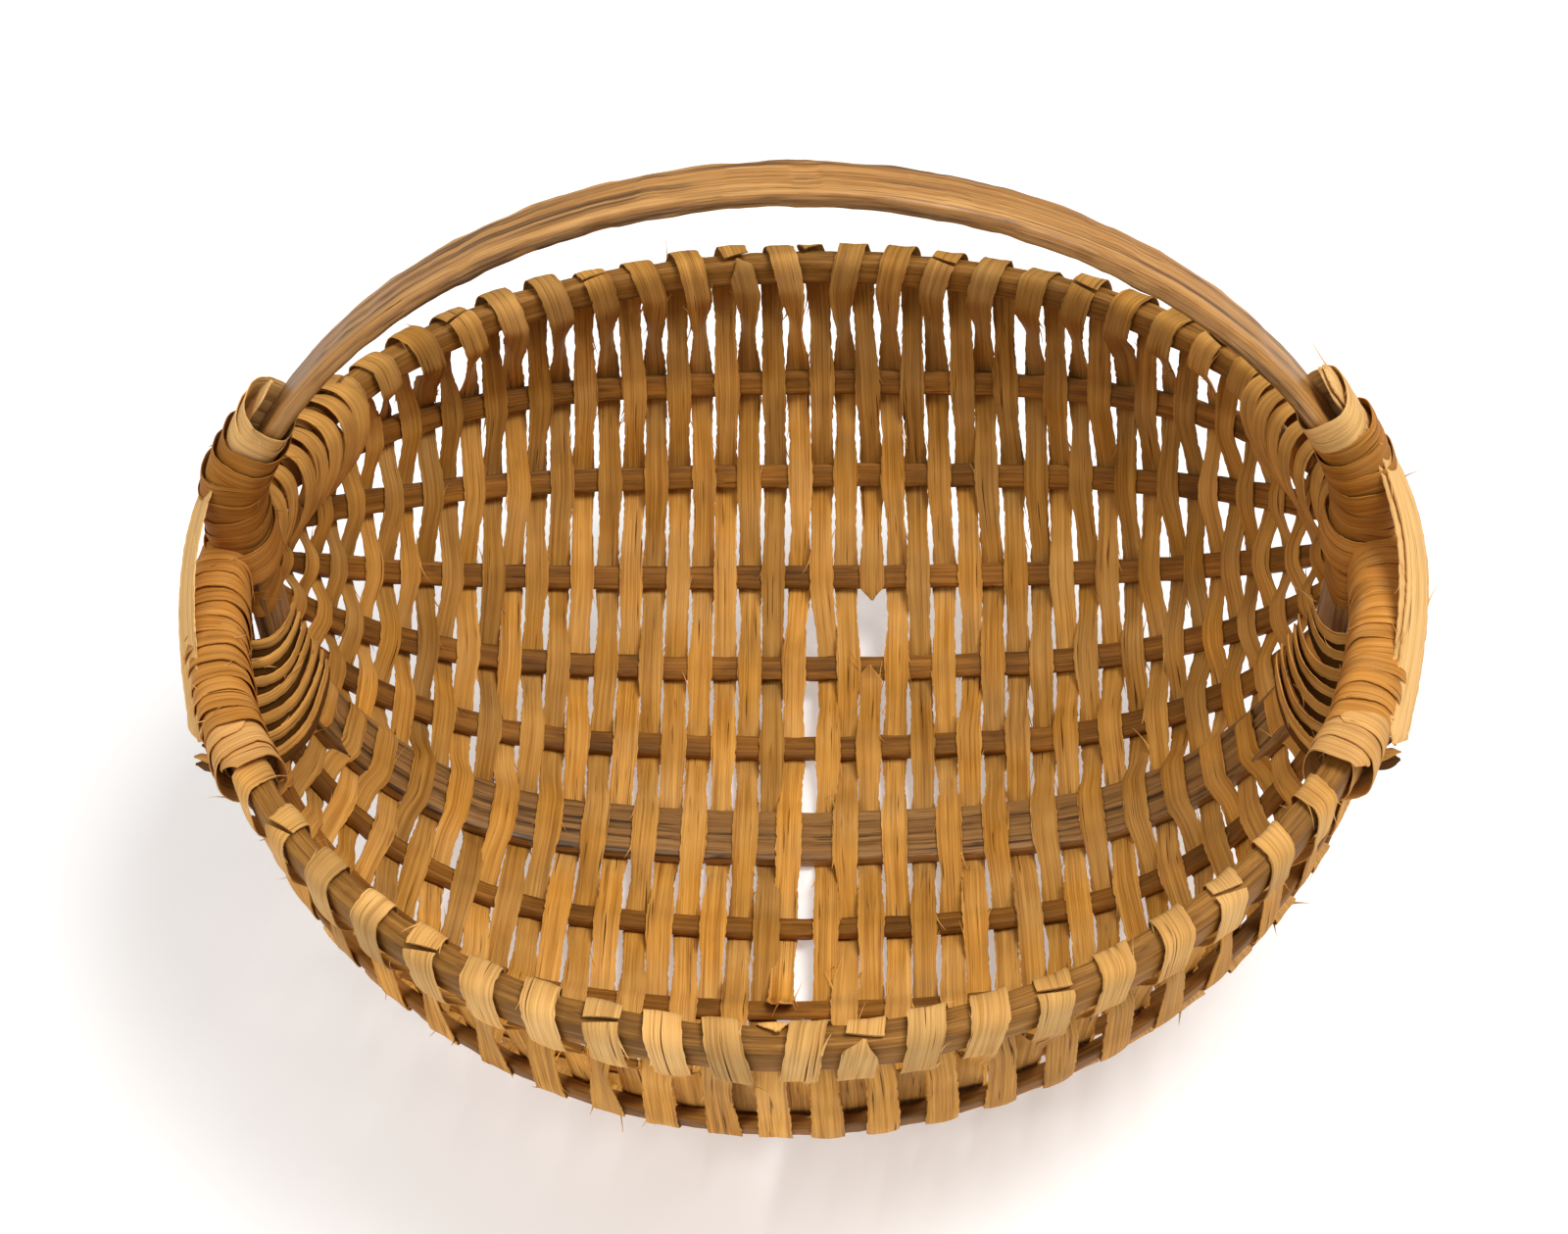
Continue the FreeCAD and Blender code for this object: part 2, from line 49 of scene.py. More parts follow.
# each hoop half and rib lies in a plane through the ears:
# span, angle below the back rim in degrees, rise, bend radius at the ends, straight leg
archSizes = {
    "rimBack": ("rimSpan", 0.0, 0.1753, 0.1676, 0.0),
    "backA": ("ribSpan", 18.5, 0.1808, 0.1429, 0.0336),
    "backB": ("ribSpan", 32.0, 0.1855, 0.1459, 0.0357),
    "backC": ("ribSpan", 46.0, 0.1837, 0.1449, 0.0349),
    "backD": ("ribSpan", 59.5, 0.1756, 0.1395, 0.0312),
    "backE": ("ribSpan", 73.0, 0.1665, 0.1333, 0.0273),
    "keel": ("hoopSpan", 90.0, 0.1619, 0.1206, 0.0345),
    "frontE": ("ribSpan", 107.0, 0.1670, 0.1337, 0.0277),
    "frontD": ("ribSpan", 120.5, 0.1807, 0.1428, 0.0335),
    "frontC": ("ribSpan", 134.0, 0.1960, 0.1520, 0.0320),
    "frontB": ("ribSpan", 148.0, 0.2050, 0.1720, 0.0220),
    "frontA": ("ribSpan", 161.5, 0.2135, 0.1950, 0.0120),
    "rimFront": ("rimSpan", 180.0, 0.2224, 0.2294, 0.0),
    "handle": ("hoopSpan", 270.0, 0.1518, 0.0440, 0.0160),
}
crossingOrder = ["rimBack", "backA", "backB", "backC", "backD", "backE", "keel",
                 "frontE", "frontD", "frontC", "frontB", "frontA", "rimFront"]
ear = np.array([0.0, basket["planeShift"], basket["earHeight"]])


def unit(v):
    return v / np.maximum(np.linalg.norm(v, axis=-1, keepdims=True), 1e-12)


def makeArch(name):
    # crown radius = (span^2 + top^2 - 2 span bend) / (2 (top - bend)), top = rise - leg;
    # the two arcs meet on the line through their centres
    spanName, angle, rise, bend, leg = archSizes[name]
    span = basket[spanName]
    top = rise - leg
    crown = (span * span + top * top - 2 * span * bend) / (2 * (top - bend))
    turn = math.atan2((leg - (rise - crown)) / (crown - bend), (span - bend) / (crown - bend))
    length = leg + bend * turn + crown * (math.pi / 2 - turn)
    return {"name": name, "span": span, "angle": math.radians(angle), "rise": rise, "bend": bend,
            "leg": leg, "crown": crown, "turn": turn, "length": length}


arches = {name: makeArch(name) for name in archSizes}


def archAt(arch, s, side=1.0):
    # s runs from one ear over the top to the other ear: leg, small arc, crown arc, then mirrored;
    # gives the point, the direction of travel, the outward normal and the direction down the wall
    s = np.asarray(s, float)
    past = s > arch["length"]
    t = np.where(past, 2 * arch["length"] - s, s)
    bendLength = arch["bend"] * arch["turn"]
    a = np.clip((t - arch["leg"]) / arch["bend"], 0, arch["turn"])
    a = a + np.clip((t - arch["leg"] - bendLength) / arch["crown"], 0, None)
    onCrown = t > arch["leg"] + bendLength
    nx, nv = np.cos(a), np.sin(a)
    x = np.where(onCrown, arch["crown"] * nx, arch["span"] - arch["bend"] + arch["bend"] * nx)
    v = np.where(onCrown, arch["rise"] - arch["crown"] + arch["crown"] * nv, arch["leg"] + arch["bend"] * nv)
    v = np.where(t < arch["leg"], t, v)
    flip = np.where(past, -side, side)
    up = np.array([0, math.cos(arch["angle"]), -math.sin(arch["angle"])])
    down = np.array([0, -math.sin(arch["angle"]), -math.cos(arch["angle"])])
    ex = np.array([1.0, 0, 0])
    point = ear + (flip * x)[..., None] * ex + v[..., None] * up
    outward = (flip * nx)[..., None] * ex + nv[..., None] * up
    travel = (-flip * nv)[..., None] * ex + nx[..., None] * up
    travel = np.where(past[..., None], -travel, travel)
    return point, travel, outward, np.broadcast_to(down, point.shape)


def wander(x, rng, pitch, octaves=3):
    # sum of sines, each octave about half as long and 0.6 as strong, phases drawn at random
    total = np.zeros_like(x, float)
    for octave in range(octaves):
        wave = 2 * math.pi / (pitch * 0.52 ** octave) * rng.uniform(0.8, 1.2)
        total += 0.6 ** octave * np.sin(x * wave + rng.uniform(0, 2 * math.pi))
    return total / 1.6


def smoothAlong(values, sigma):
    # Gaussian of the given width in stations along the first axis, ends held
    reach = int(math.ceil(3 * sigma))
    kernel = np.exp(-0.5 * (np.arange(-reach, reach + 1) / sigma) ** 2)
    kernel /= kernel.sum()
    padded = np.concatenate([np.repeat(values[:1], reach, 0), values, np.repeat(values[-1:], reach, 0)])
    flat = padded.reshape(len(padded), -1)
    out = np.stack([np.convolve(flat[:, i], kernel, "valid") for i in range(flat.shape[1])], 1)
    return out.reshape(values.shape)


def resample(channels, step):
    # every channel is read again at equal steps of length along channels["point"]
    point = channels["point"]
    run = np.concatenate([[0], np.cumsum(np.linalg.norm(np.diff(point, axis=0), axis=1))])
    at = np.linspace(0, run[-1], max(int(run[-1] / step), 4) + 1)
    out = {}
    for key, value in channels.items():
        flat = value.reshape(len(value), -1)
        cols = [np.interp(at, run, flat[:, i]) for i in range(flat.shape[1])]
        out[key] = np.stack(cols, 1).reshape((len(at),) + value.shape[1:])
    return out


# every surface is a grid: stations along a path, and points round each station
def tube(point, grain, look, closed=False):
    return {"point": point, "grain": grain, "look": look, "closed": closed}


floorGap = 0.0002  # no hair or edge goes under the floor


def meshFromTubes(name, tubes, material, sharp=42):
    # quads between neighbouring stations and neighbouring points, and a flat cap on each open end
    points, grains, looks, quads, caps = [], [], [], [], []
    base = 0
    for grid in tubes:
        n, m = grid["point"].shape[:2]
        index = base + np.arange(n * m).reshape(n, m)
        after = np.roll(index, -1, axis=1)
        if grid["closed"]:
            here, there = index, np.roll(index, -1, axis=0)
            hereNext, thereNext = after, np.roll(after, -1, axis=0)
        else:
            here, there, hereNext, thereNext = index[:-1], index[1:], after[:-1], after[1:]
        quad = np.stack([here, hereNext, thereNext, there], -1).reshape(-1, 4)
        p = grid["point"].reshape(-1, 3)
        q = p[quad - base]
        volume = np.einsum("ij,ij->i", q[:, 0] - p[0], np.cross(q[:, 1] - p[0], q[:, 2] - p[0])).sum()
        volume += np.einsum("ij,ij->i", q[:, 0] - p[0], np.cross(q[:, 2] - p[0], q[:, 3] - p[0])).sum()
        ends = [] if grid["closed"] else [index[0][::-1], index[-1]]
        if volume < 0:
            quad = quad[:, ::-1]
            ends = [end[::-1] for end in ends]
        points.append(np.maximum(p, [-1.0, -1.0, floorGap]))
        grains.append(grid["grain"].reshape(-1, 3))
        looks.append(grid["look"].reshape(-1, 4))
        quads.append(quad)
        caps += ends
        base += n * m
    quads = np.concatenate(quads)
    loops = np.concatenate([quads.ravel()] + caps)
    sizes = np.concatenate([np.full(len(quads), 4)] + [[len(cap)] for cap in caps]).astype(int)
    starts = np.concatenate([[0], np.cumsum(sizes)[:-1]])
    mesh = bpy.data.meshes.new(name)
    mesh.vertices.add(base)
    mesh.vertices.foreach_set("co", np.concatenate(points).astype(np.float32).ravel())
    mesh.loops.add(len(loops))
    mesh.loops.foreach_set("vertex_index", loops.astype(np.int32))
    mesh.polygons.add(len(sizes))
    mesh.polygons.foreach_set("loop_start", starts.astype(np.int32))
    mesh.update(calc_edges=True)
    mesh.validate()
    mesh.attributes.new("grain", "FLOAT_VECTOR", "POINT")
    mesh.attributes["grain"].data.foreach_set("vector", np.concatenate(grains).astype(np.float32).ravel())
    mesh.attributes.new("look", "FLOAT_COLOR", "POINT")
    mesh.attributes["look"].data.foreach_set("color", np.concatenate(looks).astype(np.float32).ravel())
    mesh.polygons.foreach_set("use_smooth", np.ones(len(sizes), bool))
    mesh.set_sharp_from_angle(angle=math.radians(sharp))
    mesh.materials.append(material)
    obj = bpy.data.objects.new(name, mesh)
    bpy.context.scene.collection.objects.link(obj)
    return obj


def placePiece(obj, slotName, *nodes):
    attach(obj, "root")
    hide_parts(*nodes)


# a whittled rod is a rounded oblong carried along a path
def rod(point, outward, across, halfOut, halfAcross, rng, power, around, rough, closed=False):
    # section: outward = a |cos|^(2/p), across = b |sin|^(2/p), with their signs; the surface wanders a little
    n = len(point)
    angle = np.linspace(0, 2 * math.pi, around, endpoint=False) + math.pi / around
    c, s = np.cos(angle), np.sin(angle)
    po = np.sign(c) * np.abs(c) ** (2 / power)
    pa = np.sign(s) * np.abs(s) ** (2 / power)
    steps = np.linalg.norm(np.diff(point, axis=0, append=point[:1] if closed else point[-1:]), axis=1)
    run = np.concatenate([[0], np.cumsum(steps)[:-1]])
    a = np.broadcast_to(halfOut, n)[:, None] * po
    b = np.broadcast_to(halfAcross, n)[:, None] * pa
    uneven = np.zeros((n, around))
    for k in range(4):
        lean = np.cos(angle * (k % 3 + 1) + rng.uniform(0, 6.28))
        uneven += wander(run, rng, 0.09 / (k + 1))[:, None] * lean
    fade = np.minimum(1, np.minimum(run, run[-1] - run) / 0.02)[:, None] if closed else 1.0
    uneven *= rough * 0.5 * fade
    shape = 1 + uneven / np.maximum(np.hypot(a, b), 1e-5)
    a, b = a * shape, b * shape
    grid = point[:, None] + outward[:, None] * a[..., None] + across[:, None] * b[..., None]
    offset = rng.uniform(0, 5, 3)
    grain = np.stack([np.broadcast_to(run[:, None], a.shape), b, a], -1) + offset
    looks = np.broadcast_to([0.5, 0.0, 0.0, 0.0], a.shape + (4,)).copy()
    return tube(grid, grain, looks, closed)


bandColumns = 7  # points across each face of a splint


# a flat splint is a thin ragged band carried along a path
def band(path, width, thick, rng, cup, ragged=0.00042, endRag=0.0):
    # across position = v half width, v from -1 to 1; height = cup (1 - v^2); thickness = t (1 - 0.5 v^4);
    # each edge wanders on its own at three scales, so that it looks torn along its fibres
    point = path["point"]
    travel = unit(np.gradient(point, axis=0))
    normal = unit(np.cross(travel, path["across"]))
    across = np.cross(normal, travel)
    n = len(point)
    run = np.concatenate([[0], np.cumsum(np.linalg.norm(np.diff(point, axis=0), axis=1))])
    half = np.broadcast_to(width, n) / 2
    edges = []
    for side in range(2):
        torn = wander(run, rng, 0.045, 3) * 0.55 + wander(run, rng, 0.007, 2) * 0.45
        spike = np.maximum(wander(run, rng, 0.0042, 2) - 0.45, 0) * 1.6
        edges.append(half + ragged * (torn - spike))
    if endRag > 0:
        fade = np.minimum(run, run[-1] - run)
        for side in range(2):
            tear = np.clip(fade / (endRag * rng.uniform(0.5, 1.6)), 0.12, 1.0)
            edges[side] = edges[side] * tear
    v = np.linspace(-1, 1, bandColumns)
    across1 = np.where(v[None] < 0, edges[0][:, None] * v[None], edges[1][:, None] * v[None])
    flute = wander(np.linspace(0, 1, bandColumns) * 0.01, rng, 0.006, 2) * 0.00006
    height = cup * (1 - v[None] ** 2) + flute[None] + np.zeros((n, 1))
    depth = np.broadcast_to(thick, n)[:, None] / 2 * (1 - 0.5 * v[None] ** 4)
    y = np.concatenate([across1, across1[:, ::-1]], 1)
    z = np.concatenate([height + depth, (height - depth)[:, ::-1]], 1)
    grid = point[:, None] + across[:, None] * y[..., None] + normal[:, None] * z[..., None]
    offset = np.array([rng.uniform(0, 9), rng.uniform(0, 9), rng.uniform(0, 9)])
    grain = np.stack([np.broadcast_to(run[:, None], y.shape), y, z], -1) + offset
    looks = np.broadcast_to(path["look"][:, None], y.shape + (4,)).copy()
    result = tube(grid, grain, looks)
    result.update({"travel": travel, "normal": normal, "acrossDir": across, "edges": edges,
                   "centre": point})
    return result


def frays(source, rng, count, longest=0.010, span=None):
    # each hair leaves an edge of its band at a small angle, bends away and thins to a point
    tubes = []
    n = len(source["centre"])
    for k in range(count):
        i = int(rng.integers(3, n - 3)) if span is None else int(rng.integers(span[0], span[1]))
        side = rng.integers(0, 2)
        sign = -1.0 if side == 0 else 1.0
        start = source["centre"][i] + source["acrossDir"][i] * source["edges"][side][i] * sign * 0.93
        way = source["travel"][i] * rng.choice([-1.0, 1.0])
        aside = source["acrossDir"][i] * sign * rng.uniform(0.1, 0.5)
        lift = source["normal"][i] * rng.normal(0, 0.35)
        length = longest * rng.uniform(0.35, 1.0)
        t = np.linspace(0, 1, 6)[:, None]
        line = start + way * length * t + (aside * t ** 1.5 + lift * t ** 2) * length
        thin = rng.uniform(0.00018, 0.0005) * (1 - 0.85 * t)
        square = np.array([[1, 1], [-1, 1], [-1, -1], [1, -1]])
        grid = line[:, None] + (source["acrossDir"][i] * square[:, :1]
                                + source["normal"][i] * square[:, 1:] * 0.5)[None] * thin[..., None]
        grain = np.stack([np.broadcast_to(length * t, (6, 4)), np.zeros((6, 4)) + thin, np.zeros((6, 4))], -1)
        look = np.broadcast_to(source["look"][i, 0] * [1, 1, 1, 1] + [0.1, 0.25, 0, 0], (6, 4, 4))
        tubes.append(tube(grid, grain + rng.uniform(0, 5, 3), look.copy()))
    return tubes


def addNode(tree, kind, inputs=None, **settings):
    node = tree.nodes.new(kind)
    for key, value in settings.items():
        setattr(node, key, value)
    for key, value in (inputs or {}).items():
        if isinstance(value, bpy.types.NodeSocket):
            tree.links.new(value, node.inputs[key])
        else:
            node.inputs[key].default_value = value
    return node


def mixColour(tree, factor, a, b, blend="MIX"):
    node = addNode(tree, "ShaderNodeMix", {0: factor, 6: a, 7: b}, data_type="RGBA", blend_type=blend)
    return node.outputs[2]


def calc(tree, operation, a, b=0.5, c=0.5, clamp=False):
    node = addNode(tree, "ShaderNodeMath", {0: a, 1: b, 2: c}, operation=operation, use_clamp=clamp)
    return node.outputs[0]


def rampOf(tree, factor, stops):
    node = addNode(tree, "ShaderNodeValToRGB", {0: factor})
    ramp = node.color_ramp
    while len(ramp.elements) < len(stops):
        ramp.elements.new(0.5)
    for element, (place, colour) in zip(ramp.elements, stops):
        element.position = place
        element.color = colour if len(colour) == 4 else tuple(colour) + (1,)
    return node.outputs[0]


def stretchedNoise(tree, grain, stretch, detail=3.0, rough=0.6):
    scaled = addNode(tree, "ShaderNodeVectorMath", {0: grain, 1: stretch}, operation="MULTIPLY").outputs[0]
    noise = addNode(tree, "ShaderNodeTexNoise", {"Vector": scaled, "Scale": 1.0, "Detail": detail,
                                                 "Roughness": rough})
    return noise.outputs[0]


def fibreWood(name, look):
    # fine fibres and broad streaks run along the grain attribute; blotches lie over them;
    # the look attribute carries tone, paleness, and dirt together with painted shade
    material = bpy.data.materials.new(name)
    material.use_nodes = True
    tree = material.node_tree
    tree.nodes.clear()
    out = addNode(tree, "ShaderNodeOutputMaterial")
    shader = addNode(tree, "ShaderNodeBsdfPrincipled")
    shader.inputs["IOR"].default_value = 1.45
    shader.inputs["Specular IOR Level"].default_value = look["specular"]
    grain = addNode(tree, "ShaderNodeAttribute", attribute_name="grain").outputs["Vector"]
    lookNode = addNode(tree, "ShaderNodeAttribute", attribute_name="look").outputs["Color"]
    parts = addNode(tree, "ShaderNodeSeparateColor", {0: lookNode})
    tone, pale, dirtAndShade = parts.outputs[0], parts.outputs[1], parts.outputs[2]
    fibre = stretchedNoise(tree, grain, (22.0, 1500.0, 1500.0), 3.0, 0.65)
    streak = stretchedNoise(tree, grain, (7.0, 420.0, 420.0), 3.0, 0.6)
    blotch = stretchedNoise(tree, grain, look["blotchScale"], 4.0, 0.6)
    crack = stretchedNoise(tree, grain, (30.0, 900.0, 900.0), 2.0, 0.5)
    fibreTone = rampOf(tree, fibre, [(0.28, look["dark"]), (0.5, look["middle"]), (0.72, look["light"])])
    streakTone = rampOf(tree, streak, [(0.3, look["dark"]), (0.52, look["middle"]), (0.75, look["light"])])
    colour = mixColour(tree, 0.5, fibreTone, streakTone)
    paleTone = rampOf(tree, fibre, [(0.3, look["paleDark"]), (0.55, look["pale"])])
    paleMix = calc(tree, "MULTIPLY", pale, 0.9, clamp=True)
    colour = mixColour(tree, paleMix, colour, paleTone)
    spots = rampOf(tree, blotch, [(look["blotchFrom"], (0, 0, 0)), (look["blotchTo"], (1, 1, 1))])
    dirtAndShadeMix = calc(tree, "MULTIPLY", spots, look["blotch"])
    # the third look channel adds real dirt and painted shade, both drawn toward the stain colour
    dirtAndShadeMix = calc(tree, "ADD", dirtAndShadeMix, calc(tree, "MULTIPLY", dirtAndShade, 0.85), clamp=True)
    colour = mixColour(tree, dirtAndShadeMix, colour, look["stainAndShade"] + (1,))
    lines = rampOf(tree, crack, [(0.27, (1, 1, 1)), (0.34, (0, 0, 0))])
    colour = mixColour(tree, calc(tree, "MULTIPLY", lines, look["cracks"]), colour, look["crackTone"] + (1,))
    gain = calc(tree, "MULTIPLY_ADD", tone, look["toneRange"], 1.0 - look["toneRange"] * 0.5)
    colour = mixColour(tree, 1.0, colour, addNode(tree, "ShaderNodeCombineColor",
                                                  {0: gain, 1: gain, 2: gain}).outputs[0], "MULTIPLY")
    tree.links.new(colour, shader.inputs["Base Color"])
    roughness = calc(tree, "MULTIPLY_ADD", streak, 0.25, look["roughness"] - 0.12)
    tree.links.new(roughness, shader.inputs["Roughness"])
    height = calc(tree, "ADD", calc(tree, "MULTIPLY", fibre, 0.6), calc(tree, "MULTIPLY", streak, 0.8))
    height = calc(tree, "SUBTRACT", height, calc(tree, "MULTIPLY", lines, 0.5))
    bump = addNode(tree, "ShaderNodeBump", {"Strength": look["bump"], "Distance": 0.0006, "Height": height})
    tree.links.new(bump.outputs[0], shader.inputs["Normal"])
    tree.links.new(shader.outputs[0], out.inputs[0])
    return material


splintLook = {
    "dark": (0.20, 0.062, 0.005), "middle": (0.54, 0.238, 0.034), "light": (0.79, 0.42, 0.098),
    "paleDark": (0.45, 0.235, 0.068), "pale": (0.72, 0.44, 0.17),
    "stainAndShade": (0.10, 0.034, 0.005), "crackTone": (0.10, 0.030, 0.003),
    "blotchScale": (30.0, 70.0, 70.0), "blotchFrom": 0.62, "blotchTo": 0.85, "blotch": 0.35,
    "cracks": 1.0, "toneRange": 0.74, "roughness": 0.7, "specular": 0.14, "bump": 0.6,
}
lashingLook = dict(splintLook, middle=(0.50, 0.19, 0.022), light=(0.70, 0.33, 0.07), blotch=0.45)
paleLook = dict(splintLook, dark=(0.42, 0.19, 0.035), middle=(0.60, 0.335, 0.10), light=(0.78, 0.49, 0.18),
                blotch=0.12, cracks=0.6)
rimLook = dict(splintLook, dark=(0.09, 0.034, 0.006), middle=(0.27, 0.112, 0.018), light=(0.48, 0.25, 0.062),
               stainAndShade=(0.040, 0.018, 0.006), blotchScale=(18.0, 60.0, 60.0), blotchFrom=0.45, blotchTo=0.75,
               blotch=0.5, cracks=0.9, roughness=0.6, bump=0.4, specular=0.2)
ribLook = dict(rimLook, dark=(0.075, 0.026, 0.004), middle=(0.25, 0.095, 0.012), light=(0.44, 0.19, 0.034),
               blotchScale=(28.0, 90.0, 90.0), blotch=0.55, roughness=0.64)
hoopLook = dict(rimLook, dark=(0.12, 0.042, 0.006), middle=(0.44, 0.205, 0.052), light=(0.66, 0.38, 0.14),
                stainAndShade=(0.060, 0.026, 0.008), blotchScale=(10.0, 330.0, 330.0), blotchFrom=0.50, blotchTo=0.64,
                blotch=0.8, cracks=0.9, roughness=0.42, specular=0.45, bump=0.25)

splintWood = fibreWood("splintWood", splintLook)
lashingWood = fibreWood("lashingWood", lashingLook)
paleSplintWood = fibreWood("paleSplintWood", paleLook)
rimWood = fibreWood("rimWood", rimLook)
ribWood = fibreWood("ribWood", ribLook)
hoopWood = fibreWood("hoopWood", hoopLook)
print("woods ready")

rimShape = {"step": 0.003, "around": 20, "power": 5.0, "rough": 0.00045, "inset": 0.0001}


def makeRim():
    rng = np.random.default_rng(11)
    back, front = arches["rimBack"], arches["rimFront"]
    sBack = np.linspace(0, 2 * back["length"], int(2 * back["length"] / rimShape["step"]))
    sFront = np.linspace(2 * front["length"], 0, int(2 * front["length"] / rimShape["step"]))
    p1, _, o1, _ = archAt(back, sBack)
    p2, _, o2, _ = archAt(front, sFront)
    point = np.concatenate([p1[:-1], p2[:-1]])
    outward = np.concatenate([o1[:-1], o2[:-1]])
    upward = np.broadcast_to([0.0, 0, 1.0], point.shape)
    grid = rod(point, outward, upward, basket["rimThick"] / 2 - rimShape["inset"],
               basket["rimHigh"] / 2 - rimShape["inset"], rng, rimShape["power"], rimShape["around"],
               rimShape["rough"], True)
    obj = meshFromTubes("rimHoop", [grid], rimWood)
    placePiece(obj, "rim_wood", "rim_hoop")


# one hoop is the bow above and the keel below
hoopShape = {"step": 0.003, "around": 28, "power": 6.0, "rough": 0.0006}


def makeHoop():
    rng = np.random.default_rng(12)
    upper, lower = arches["handle"], arches["keel"]
    sUp = np.linspace(0, 2 * upper["length"], int(2 * upper["length"] / hoopShape["step"]))
    sLow = np.linspace(2 * lower["length"], 0, int(2 * lower["length"] / hoopShape["step"]))
    p1, _, o1, _ = archAt(upper, sUp)
    p2, _, o2, _ = archAt(lower, sLow)
    point = np.concatenate([p1[:-1], p2[:-1]])
    outward = np.concatenate([o1[:-1], o2[:-1]])
    across = np.broadcast_to([0.0, 1.0, 0], point.shape)
    height = point[:, 2] - basket["earHeight"]
    blend = np.clip((height + 0.006) / 0.012, 0, 1)
    wide = basket["keelWide"] + (basket["handleWide"] - basket["keelWide"]) * blend
    wide = wide - 0.0012 * np.clip(height / 0.15, 0, 1) * np.cos(point[:, 0] / 0.2 * math.pi)
    grid = rod(point, outward, across, basket["hoopThick"] / 2, wide / 2, rng, hoopShape["power"],
               hoopShape["around"], hoopShape["rough"], True)
    # painted shade: the keel below the ears is made darker and duller, and the inner face of the bow is
    # darkened
    shade = np.clip(-height / 0.03, 0, 1)
    innerFaceShade = np.clip(-(grid["grain"][..., 2] - grid["grain"][..., 2].mean()) / 0.0025, 0, 1)
    grid["look"][..., 0] = 0.5 - 0.22 * shade[:, None]
    grid["look"][..., 2] = 0.25 * shade[:, None] + 0.5 * innerFaceShade * (1 - shade[:, None])
    obj = meshFromTubes("handleHoop", [grid], hoopWood)
    placePiece(obj, "hoop_wood", "handle_hoop")


ribShape = {"step": 0.003, "around": 16, "power": 4.5, "rough": 0.0005}


def ribWidthAt(reach):
    share = np.clip((reach - basket["tipStart"]) / (basket["taperEnd"] - basket["tipStart"]), 0, 1)
    return basket["tipWide"] + share * (basket["ribWide"] - basket["tipWide"])


def makeRib(nodeName, arch, seed):
    rng = np.random.default_rng(seed)
    first = basket["tipStartNear"] if arch["name"][-1] in "AB" else basket["tipStart"]
    s = np.linspace(first, 2 * arch["length"] - first, int(2 * arch["length"] / ribShape["step"]))
    point, _, outward, down = archAt(arch, s)
    reach = np.linalg.norm((point - ear)[:, 1:], axis=1)
    wide = ribWidthAt(reach) - 0.0002
    grid = rod(point, outward, down, basket["ribThick"] / 2 - 0.0001, wide / 2, rng, ribShape["power"],
               ribShape["around"], ribShape["rough"])
    grid["look"][..., 0] = 0.5 + 0.3 * wander(s, rng, 0.12)[:, None] + rng.uniform(-0.12, 0.12)
    obj = meshFromTubes(nodeName.replace("_", "."), [grid], ribWood)
    placePiece(obj, "rib_wood", nodeName)


makeRim()
makeHoop()
for number, letter in enumerate("ABCDE"):
    makeRib("rib_back_%d" % (number + 1), arches["back" + letter], 20 + number)
    makeRib("rib_front_%d" % (number + 1), arches["front" + letter], 30 + number)
print("rim, hoop and ribs ready")

weave = {
    "passes": 27, "perSplint": 3, "firstPass": 0.042, "firstWrap": 0.027,
    "crowding": (0.05, 0.02, 0.0, -0.03, -0.06, -0.08, -0.1, -0.06, 0.0, 0.08, 0.16, 0.23, 0.3),
    "width": 0.0107, "thick": 0.00075, "gap": 0.00045, "step": 0.0016, "soft": 1.25,
    "waist": 0.80, "jitter": 0.0008, "seamGap": 0.0028, "shingle": 8.0, "cup": 0.00035,
}
# torn places: side, pass, from crossing, to crossing
tornPlaces = [(1, 25, 3.25, 4.0), (-1, 27, 8.3, 8.9)]


def placeOfPasses(k, passes):
    # length from the ear = start + room (u + c u (1 - u)), u = share of the passes, c = crowding
    arch = arches[crossingOrder[k]]
    start = weave["firstWrap"] if k in (0, 12) else weave["firstPass"]
    u = (passes - 0.5) / weave["passes"]
    c = weave["crowding"][k]
    room = arch["length"] - start
    return start + room * (u + c * u * (1 - u))


